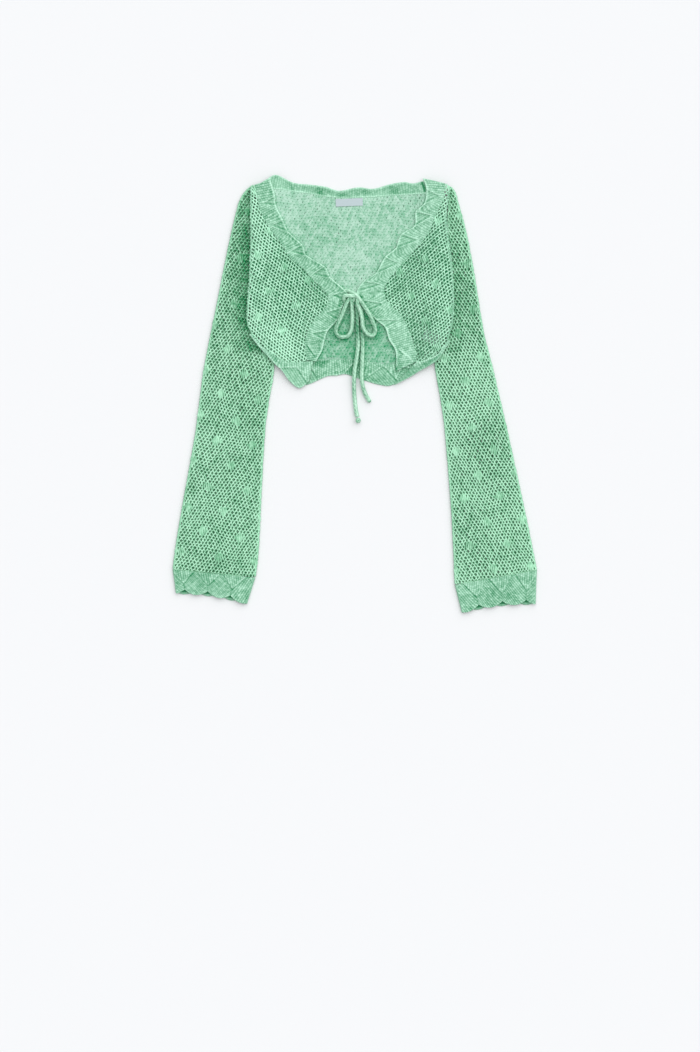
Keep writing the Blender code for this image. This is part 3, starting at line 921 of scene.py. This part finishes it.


# Heights and lightness of a strip, the lightness painted as the light and shade of that relief: straight
# ribs, sunk fans, the chain along its free edge, and what else its dictionary names.
def edgingRelief(strip, plan, along, across, widths):
    look = edgingLook
    seam, down, fromEdge = plan[:, 0], across * widths[:, None], (1 - across) * widths[:, None]
    fans = stripFans(strip)
    tangent = unitRows(smoothed(np.gradient(seam, axis=0), 12))
    ribPlace = along[:, None] + ((plan - seam[:, None]) * tangent[:, None]).sum(2)
    starts = np.sort([np.linalg.norm(fan[0] - seam[0]) for fan in fans])
    between = np.interp(along, starts, np.arange(len(starts))) if len(starts) > 1 else along / 40
    spread = look["spread"] * np.sin(2 * np.pi * between)[:, None]
    relief = ribbing(ribPlace + spread * down, down) * strip.get("ribShare", 1)
    for x, y, size, tone in strip.get("hollows", ()):
        hollow = gauss(np.hypot(plan[..., 0] - x, (plan[..., 1] - y) * 1.8), size)
        relief += added(hollow, (1.6 * tone, tone))
    inFan = np.zeros(down.shape)
    for fan in fans:
        relief, place = sinkFan(relief, plan, *fan)
        inFan = np.maximum(inFan, place)
    chain = gauss(fromEdge - 0.9, look["rim"])
    knotted = chain * (0.5 + 0.5 * np.cos(2 * np.pi * along / look["knot"])[:, None])
    rim = added(chain, look["rimAdds"]) + added(knotted, look["knotAdds"])
    shown = strip.get("rimShare", 1) * np.clip((along[-1] - along) / strip.get("softEnd", 1), 0.15, 1)
    rim[1] *= (1 - 0.2 * inFan) * shown[:, None]
    relief += rim
    relief[1] += look["besideRim"] * gauss(fromEdge - 4.5, 3.0) * (1 - 0.5 * inFan)
    relief += added(gauss(down - 1.2, 1.1) * strip.get("seamChain", 0), look["seamChainAdds"])
    for fold in strip.get("folds", ()):
        relief += foldRelief(plan, *fold)
    relief[1] += look["tiePaintedShade"] * besideTie(plan)
    if "lowerTone" in strip:
        share, tone = strip["lowerTone"]
        lower = clipped((across[None, :] - share) / 0.06 + 0.5)
        relief = relief * (1 - 0.5 * lower) + added(lower, (-0.5, tone))
    return relief[0], relief[1] + look["tone"] + strip.get("tone", 0)


def makeEdging(strip):
    look = edgingLook
    curve = spline(strip["rows"], 24)
    lengths = distances((curve[:, :2] + curve[:, 2:]) / 2)
    curve = resampled(curve, lengths, int(lengths[-1] / look["cell"]))
    widths = np.linalg.norm(curve[:, 2:] - curve[:, :2], axis=1)
    cells = max(int(widths.max() / look["cell"]), 6)
    across = np.linspace(0, 1, cells + 1)
    plan = curve[:, None, :2] + (curve[:, None, 2:] - curve[:, None, :2]) * across[:, None]
    along = distances(plan[:, 0])
    height, light = edgingRelief(strip, plan, along, across, widths)
    base = stackHeight(plan[..., 0]) + strip["base"]
    topZ = base + look["thick"] + 0.25 + height * np.minimum(1, widths / 9)[:, None]
    topZ -= 0.5 * gauss(across * widths[:, None], 0.7)          # rounded down to the seam
    topZ -= 0.6 * gauss((1 - across) * widths[:, None], 0.5)    # and to the free edge
    topZ = np.maximum(topZ, base + 0.5)
    top = np.concatenate([plan, topZ[..., None]], 2)

    def line(column, lift):
        return np.concatenate([plan[:, column], (base[:, column] + lift)[:, None]], 1)[:, None]

    hidden = [line(-1, 0.5), line(-2, 0), line(cells // 2, 0), line(1, 0), line(0, 0.5)]
    sections = np.concatenate([top] + hidden, 1)
    # the ribs on the hidden side are painted light and shade, without relief
    hiddenTone = 0.34 + 0.22 * np.cos(2 * np.pi * along / look["rib"])
    tones = np.concatenate([light, np.repeat(hiddenTone[:, None], len(hidden), 1)], 1)
    piece = closedPiece(strip["name"], strip["node"], "edging", edgingYarn, sections.reshape(-1, 3),
                        ringFaces(*sections.shape[:2]), tones)


for strip in (neckBand, backHem, rightBand, leftBand, rightHem, leftHem):
    makeEdging(strip)
print("edging made")


cuffRight = {
    "node": "cuff_right", "name": "cuff_edging_right",
    "seam": ((-273, -266), (-149, -278)), "edge": ((-268, -299), (-161, -315)),
    "shift": 0.20,              # of the fans, in fans
    "turned": (1, 1, 1, -1),    # the way in which each fan's ribs lean
    "legShare": 0.9,            # how deep the second leg of each fan is
    "tone": -0.13,
}
cuffLeft = {
    "node": "cuff_left", "name": "cuff_edging_left",
    "seam": ((273, -267), (150, -289)), "edge": ((271, -315), (160, -328)),
    "shift": 0.18, "turned": (1, -1, -1, -1), "legShare": 0.35, "tone": -0.08,
}
cuffLook = {
    "round": 0.245,         # all round, in metres
    "half": 2.5,            # half the height of the flattened tube
    "wall": 1.7,
    "fans": 3,              # in the upper layer, and as many in the under layer
    "scallop": 3.9,
    "rise": 0.9,            # how much the upper layer swells at the seam
    "hollow": 4.2,          # how far the free edge curves in
    "fanAdds": (-0.25, -0.05), "lineAdds": (-0.5, -0.34), "crestAdds": (0.25, 0.20), "rimAdds": (0.35, 0.14),
    "tone": 0.56,
    "hiddenTone": 0.42,
    "insideEdge": 0.34,     # lightness inside, at the free edge
    "insideDeepShade": -1.0,     # and farther in, as painted shade
    "insideOver": 2.4,
}


# Heights and lightness across a cuff's upper layer at one distance down it, the lightness painted as the
# light and shade of that relief, with the shade of its ribs alone.
def cuffRelief(cuff, phase, along, down, length):
    look = cuffLook
    ridge = np.abs(((phase + 0.5) % 1) - 0.5) * 2          # 0 at a lobe's middle
    leg = min(0.11 + 1.35 * down, 1.0)                     # how far the fan reaches to each side
    fan = clipped((leg - ridge) / 0.06 + 0.5)
    turned = np.array(cuff["turned"])[np.floor(phase + 0.5).astype(int)]
    ribs = ribbing(along - fan * turned * down * length * 0.8, np.full(len(along), down * length))
    line = gauss(ridge - leg, 0.06) if leg < 1 else gauss(ridge - 1, 0.05)
    line = line * np.where((phase + 0.5) % 1 < 0.5, 1.0, cuff["legShare"])
    crest = gauss(ridge - leg - 0.09, 0.05) * (leg < 0.95)
    rim = gauss((1 - down) * length, edgingLook["rim"]) * np.ones(len(along))
    height, light = (ribs + added(fan, look["fanAdds"]) + added(line, look["lineAdds"])
                     + added(crest, look["crestAdds"]) + added(rim, look["rimAdds"]))
    return height, light + look["tone"] + cuff["tone"], ribs[1]


# A flattened tube of edging: its upper and its under layer have their own lobes.
def makeCuff(cuff):
    look = cuffLook
    seam, edge = np.array(cuff["seam"], float), np.array(cuff["edge"], float)
    half = look["half"]
    length = np.linalg.norm(edge.mean(0) - seam.mean(0))
    flat = int((np.linalg.norm(seam[1] - seam[0]) - 2 * half) / edgingLook["cell"])
    levels = int(length / edgingLook["cell"])
    bend = 7
    t = np.linspace(0, 1, flat)
    arc = np.linspace(-np.pi / 2, np.pi / 2, bend + 2)[1:-1]
    phase = t * look["fans"] + cuff["shift"]
    upper, under = [np.abs(np.cos(np.pi * (phase + shift))) ** 0.8 * 2 - 1 for shift in (0, 0.5)]
    lobes = np.concatenate([under, np.linspace(under[-1], upper[-1], bend), upper[::-1],
                            np.linspace(upper[0], under[0], bend)])
    outerLoops, innerLoops, outerTones = [], [], []
    for down in np.linspace(0, 1, levels + 1):
        outer, inner = seam + (edge - seam) * down
        span = np.linalg.norm(inner - outer)
        unit = (inner - outer) / span
        fall = np.array([unit[1], -unit[0]]) * np.sign(unit[0])
        along = t * (span - 2 * half)
        height, light, ribLight = cuffRelief(cuff, phase, along, down, length)
        swell = look["rise"] * np.sin(np.pi * t) * (1 - down)
        for loops, radius, relief in ((outerLoops, half, height), (innerLoops, half - look["wall"], 0)):
            x = half + along
            position = np.concatenate([x, span - half + radius * np.cos(arc), x[::-1],
                                       half - radius * np.cos(arc)])
            z = np.concatenate([np.full(flat, half - radius), half + radius * np.sin(arc),
                                (half + radius + relief + swell)[::-1], half - radius * np.sin(arc)])
            place = clipped(position / span)
            drop = lobes * look["scallop"] * down ** 2 - look["hollow"] * 4 * place * (1 - place) * down
            plan = outer + position[:, None] * unit + drop[:, None] * fall
            loops.append(np.concatenate([plan, z[:, None]], 1))
        # the ribs on the under side are painted light and shade, without relief
        underTones, bendTones = look["hiddenTone"] + 0.8 * ribLight, np.full(bend, look["hiddenTone"])
        outerTones.append(np.concatenate([underTones, bendTones, light[::-1], bendTones]))
    # Painted shade inside the tube, darkening away from the free edge.
    deep = clipped(np.linspace(0, length, levels + 1) / look["insideOver"] - 1)
    innerTones = look["insideEdge"] + (look["insideDeepShade"] - look["insideEdge"]) * deep
    loops = np.array(outerLoops + innerLoops[::-1])
    rings, sides = loops.shape[:2]
    tones = np.concatenate([outerTones, np.repeat(innerTones[:, None], sides, 1)])
    level, k = np.arange(rings)[:, None], np.arange(sides)
    nextLevel, following = (level + 1) % rings, (k + 1) % sides
    quads = np.stack([level * sides + k, nextLevel * sides + k,
                      nextLevel * sides + following, level * sides + following], -1)
    piece = closedPiece(cuff["name"], cuff["node"], "edging", edgingYarn, loops.reshape(-1, 3),
                        quads.reshape(-1, 4).tolist(), tones)


makeCuff(cuffRight)
makeCuff(cuffLeft)
print("cuffs made")


seamLook = {
    "radius": 1.0,
    "depths": (1.0, 2.6, 4.2),      # of the rows of chain under the front's upper side
    "step": 1.3,
    "stitch": 3.4,
    "feel": (0.6, 1.5, 3.0, 5.0),   # how far inside the front its height is felt for
}


# A chain's lobes and twist as heights, with painted light on what stands out.
def chainRelief(along, angle):
    turns = np.pi * along / seamLook["stitch"]
    lobes = np.abs(np.sin(turns))
    twist = np.cos(angle * 2 + 2 * turns)
    return 0.30 * lobes + 0.16 * twist, 0.24 + 0.30 * lobes + 0.18 * twist


# The rows of chain where a front folds down to the sleeve.
def makeArmholeSeam(side):
    look = seamLook
    plan = evenly(spline(armholes[side], 10), look["step"])
    lay = Lay("front_" + side)
    inwards = 1 if side == "right" else -1
    heights = []
    for x, y in plan:
        found = [lay.top(x + inwards * shift, y) for shift in look["feel"]]
        heights.append(next((z for z in found if z is not None), np.nan))
    heights, places = np.array(heights), np.arange(len(heights))
    known = ~np.isnan(heights)
    heights = np.interp(places, places[known], heights[known])
    rows = []
    for depth in look["depths"]:
        line = np.stack([plan[:, 0] + inwards, plan[:, 1], heights - depth], 1)
        points, faces, shade = ropeMesh(line, look["radius"], chainRelief, 10)
        # the deeper rows darker, as painted shade
        rows.append((points, faces, shade - 0.1 * (depth - 1)))
    closedPiece("armhole_seam_" + side, None, "net", edgingYarn, *joined(rows))


makeArmholeSeam("right")
makeArmholeSeam("left")
print("seams made")


# Crocheted cord: slanting stitches that wind round it, with a groove between each two; painted light on the
# stitches and ridges, painted shade in the grooves.
def cordRelief(along, angle):
    column = np.floor(angle / (np.pi / 2) + 0.25)
    wave = np.sin(2 * angle + np.pi / 4)
    place = along / tieLook["stitch"] + 0.62 * wave + 0.37 * column
    ridge, loop = np.abs(wave), 0.5 + 0.5 * np.cos(2 * np.pi * place)
    odd = scatter(np.floor(place), column, 6)
    return -0.5 + 0.34 * ridge + 0.20 * loop + 0.08 * odd, 0.22 + 0.32 * ridge + 0.24 * loop + 0.12 * odd


# One cord. Its tone is lowered by shaded, as painted shade, where it lies between the bow's loops.
def makeCord(name, node, route, farEnd, shaded=0.0):
    line = evenly(spline(route, 16), tieLook["step"])
    lengths = distances(line)
    fromEnd = lengths[-1] - lengths
    radius = np.full(len(line), tieLook["diameter"] / 2)
    if farEnd == "bare":
        radius *= clipped((fromEnd + 0.4) / 2.2) ** 0.4
    points, faces, tones = ropeMesh(line, radius, cordRelief, 20)
    tones = tones - shaded * clipped((line[:, 1:2] - 76) / 14)
    if farEnd == "bare":   # the tail's end is sewn smooth, and its tip is dark
        smooth = clipped((tieLook["wholeEnd"] - fromEnd) / 3)[:, None]
        tones = tones * (1 - smooth) + 0.62 * smooth - 0.5 * gauss(fromEnd, 1.9)[:, None]
    piece = closedPiece(name, node, "tie cord", cordYarn, points, faces, tones)
    path = line * mm
    path[:, 1] -= middleY * mm


# The cord's ways in the bow's knot, each with its radius and a change of tone: painted light on the wraps
# across the top, painted shade in its heart.
knotWays = [
    # across the front, curling round at the wearer's right
    (3.0, 0.18, [(-15.0, 136.4, 3.6), (-16.0, 138.8, 6.9), (-15.4, 142.6, 9.8), (-12.2, 144.0, 10.9),
                 (-7.6, 143.7, 11.3), (-3.2, 143.6, 11.0), (0.6, 143.8, 9.8)]),
    # from the band down to the left loop
    (2.9, 0.18, [(-13.4, 152.4, 2.8), (-10.0, 151.8, 5.4), (-5.2, 149.6, 8.4), (-0.4, 146.9, 11.0),
                 (3.9, 142.9, 12.1), (7.2, 138.9, 11.4), (9.6, 135.4, 10.9)]),
    # the short way back under it
    (2.4, 0.0, [(0.8, 143.6, 8.6), (-0.6, 139.4, 8.4), (-2.2, 135.4, 7.4)]),
    # the loops and tails running up into it
    (2.8, 0.0, [(-12.4, 132.2, 9.4), (-9.9, 137.2, 8.6), (-7.6, 141.2, 7.4)]),
    (2.7, -0.05, [(-4.7, 133.0, 7.6), (-5.4, 137.6, 7.6), (-5.6, 141.4, 7.0)]),
    (2.7, 0.0, [(4.2, 130.2, 12.2), (3.6, 134.6, 11.2), (4.0, 139.6, 9.0)]),
    # the heart of it, in painted shade
    (4.0, -0.45, [(-9.4, 142.6, 6.0), (-3.2, 142.8, 6.2), (3.6, 140.8, 6.0)]),
    (2.6, -0.45, [(-1.6, 141.0, 5.4), (-0.6, 136.2, 5.2), (0.6, 131.6, 5.0)]),
]
tailKnot = {"x": 5.1, "y": -42.0, "z": 3.6, "turns": 1.7, "radius": 2.1, "tone": -0.12}


def makeKnot():
    ways = []
    for radius, tone, way in knotWays:
        points, faces, shade = ropeMesh(evenly(spline(way, 16), tieLook["step"]), radius, cordRelief, 20)
        ways.append((points, faces, shade + tone))
    closedPiece("bow_knot", "tie_knot", "tie cord", cordYarn, *joined(ways))


# The knot at the end of the right tail, wound as a short rising coil.
def makeTailKnot():
    look = tailKnot
    turns = np.linspace(0, look["turns"], 50) * 2 * np.pi
    coil = np.stack([look["x"] + 1.9 * np.cos(turns), look["y"] + 2.0 * np.sin(turns) - 0.5 * turns / 6,
                     look["z"] + 0.28 * turns], 1)
    points, faces, shade = ropeMesh(evenly(coil, tieLook["step"]), look["radius"], cordRelief, 18)
    closedPiece("tail_knot", "tie_end_knot", "tie cord", cordYarn, points, faces, shade + look["tone"])


makeCord("bow_loop_right", "tie_loop_right", loopRight, "object")
makeCord("bow_loop_left", "tie_loop_left", loopLeft, "object")
makeCord("bow_tail_right", "tie_tail_right", tailRight, "knot", 0.28)
makeCord("bow_tail_left", "tie_tail_left", tailLeft, "bare", 0.28)
makeKnot()
makeTailKnot()
print("tie made")


satin = {"Roughness": 0.45, "Sheen Weight": 0.2, "Specular IOR Level": 0.4}
neckLabel = {
    "left": -28.5, "right": 12, "top": 290.2, "bottom": 279, "turn": 2.2, "lift": 2.15,
    "dark": (0.405, 0.495, 0.52, 1), "light": (0.48, 0.568, 0.592, 1),
}
careLabel = {
    "centre": (116, 81), "size": (27, 17), "turn": -28, "lift": 2.75,
    "dark": (0.13, 0.27, 0.20, 1), "light": (0.18, 0.33, 0.255, 1),
}
labelCloth = {"thick": 0.3, "wave": 0.16, "ripple": 0.05, "warp": 9000, "weft": 14000}


def labelFinish(name, look):
    finish = Finish(name, satin)
    x, y, _ = finish.split(finish.place())
    threads = (x * labelCloth["warp"]).sin() * 0.5 + (y * labelCloth["weft"]).sin() * 0.5
    finish.colour((threads * 0.5 + 0.5).clamp(), look["dark"], look["light"])
    finish.bump(threads, 0.25, 0.05 * mm)
    return finish.material


# A small flat rectangle of cloth, slightly waved, at a place of the tables.
def clothPatch(name, centre, size, turn, lift, finish):
    deselectAll()
    bpy.ops.mesh.primitive_grid_add(x_subdivisions=40, y_subdivisions=12, size=1)
    patch = bpy.context.object
    patch.name = name
    patch.scale = (size[0] * mm, size[1] * mm, 1)
    patch.rotation_euler = (0, 0, math.radians(turn))
    patch.location = (centre[0] * mm, (centre[1] - middleY) * mm, lift * mm)
    bpy.ops.object.transform_apply(location=True, rotation=True, scale=True)
    for vertex in patch.data.vertices:
        across = (vertex.co.x / mm - centre[0]) / size[0]
        wave = labelCloth["wave"] * math.cos(math.pi * across) + labelCloth["ripple"] * math.sin(9 * across)
        vertex.co.z += wave * mm
    solid = patch.modifiers.new("thickness", "SOLIDIFY")
    solid.thickness = labelCloth["thick"] * mm
    solid.offset = 1
    bpy.ops.object.modifier_apply(modifier="thickness")
    bpy.ops.object.shade_smooth_by_angle(angle=math.radians(40))
    patch.data.materials.append(finish)
    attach(patch, "root")
    size[0] * mm
    size[1] * mm
    return patch


# The blank neck label, and the blank care label that shows through the left front.
def makeLabels():
    look, care = neckLabel, careLabel
    size = (look["right"] - look["left"], look["top"] - look["bottom"])
    centre = ((look["right"] + look["left"]) / 2, (look["top"] + look["bottom"]) / 2)
    finish = labelFinish("plain satin label", look)
    careFinish = labelFinish("plain care label", care)
    label = clothPatch("blank_label", centre, size, look["turn"], look["lift"], finish)
    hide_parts("neck_label")
    lift = care["lift"] + stackHeight(care["centre"][0])
    clothPatch("care_label", care["centre"], care["size"], care["turn"], lift, careFinish)


makeLabels()
print("labels made")


studio = {
    "floorSize": 12.0,          # in metres
    "paper": {"Base Color": (0.80, 0.808, 0.820, 1), "Roughness": 0.75, "Specular IOR Level": 0.1},
    "world": 0.56, "worldColour": (0.985, 0.99, 1.0, 1),
    "sunPower": 2.345, "sunSpread": 90, "sunFrom": (0.34, 0.55, 1.0),
    "aim": (-7.1, -200.6), "lens": 85.0, "sensor": 36.0,
    "tall": 1.578,              # height of the picture on the floor, in metres
}


def makeStudio():
    look = studio
    deselectAll()
    bpy.ops.mesh.primitive_plane_add(size=look["floorSize"], location=(0, 0, -0.0002))
    floor = bpy.context.object
    floor.name = "floor"
    floor.data.materials.append(Finish("white paper", look["paper"]).material)
    world = bpy.data.worlds.new("studio")
    bpy.context.scene.world = world
    world.use_nodes = True
    background = world.node_tree.nodes["Background"]
    background.inputs["Color"].default_value = look["worldColour"]
    background.inputs["Strength"].default_value = look["world"]
    lamp = bpy.data.lights.new("soft light", "SUN")
    lamp.energy = look["sunPower"]
    lamp.angle = math.radians(look["sunSpread"])
    light = newObject("soft light", lamp)
    light.rotation_euler = (-Vector(look["sunFrom"])).to_track_quat("-Z", "Y").to_euler()
    camera = newObject("camera", bpy.data.cameras.new("camera"))
    camera.data.lens = look["lens"]
    camera.data.sensor_width = look["sensor"]
    height = look["lens"] * look["tall"] / look["sensor"]
    camera.location = (look["aim"][0] * mm, (look["aim"][1] - middleY) * mm, height)
    camera.data.clip_end = 50
    bpy.context.scene.camera = camera
    bpy.context.scene.view_settings.view_transform = "Standard"


makeStudio()
print("studio ready")
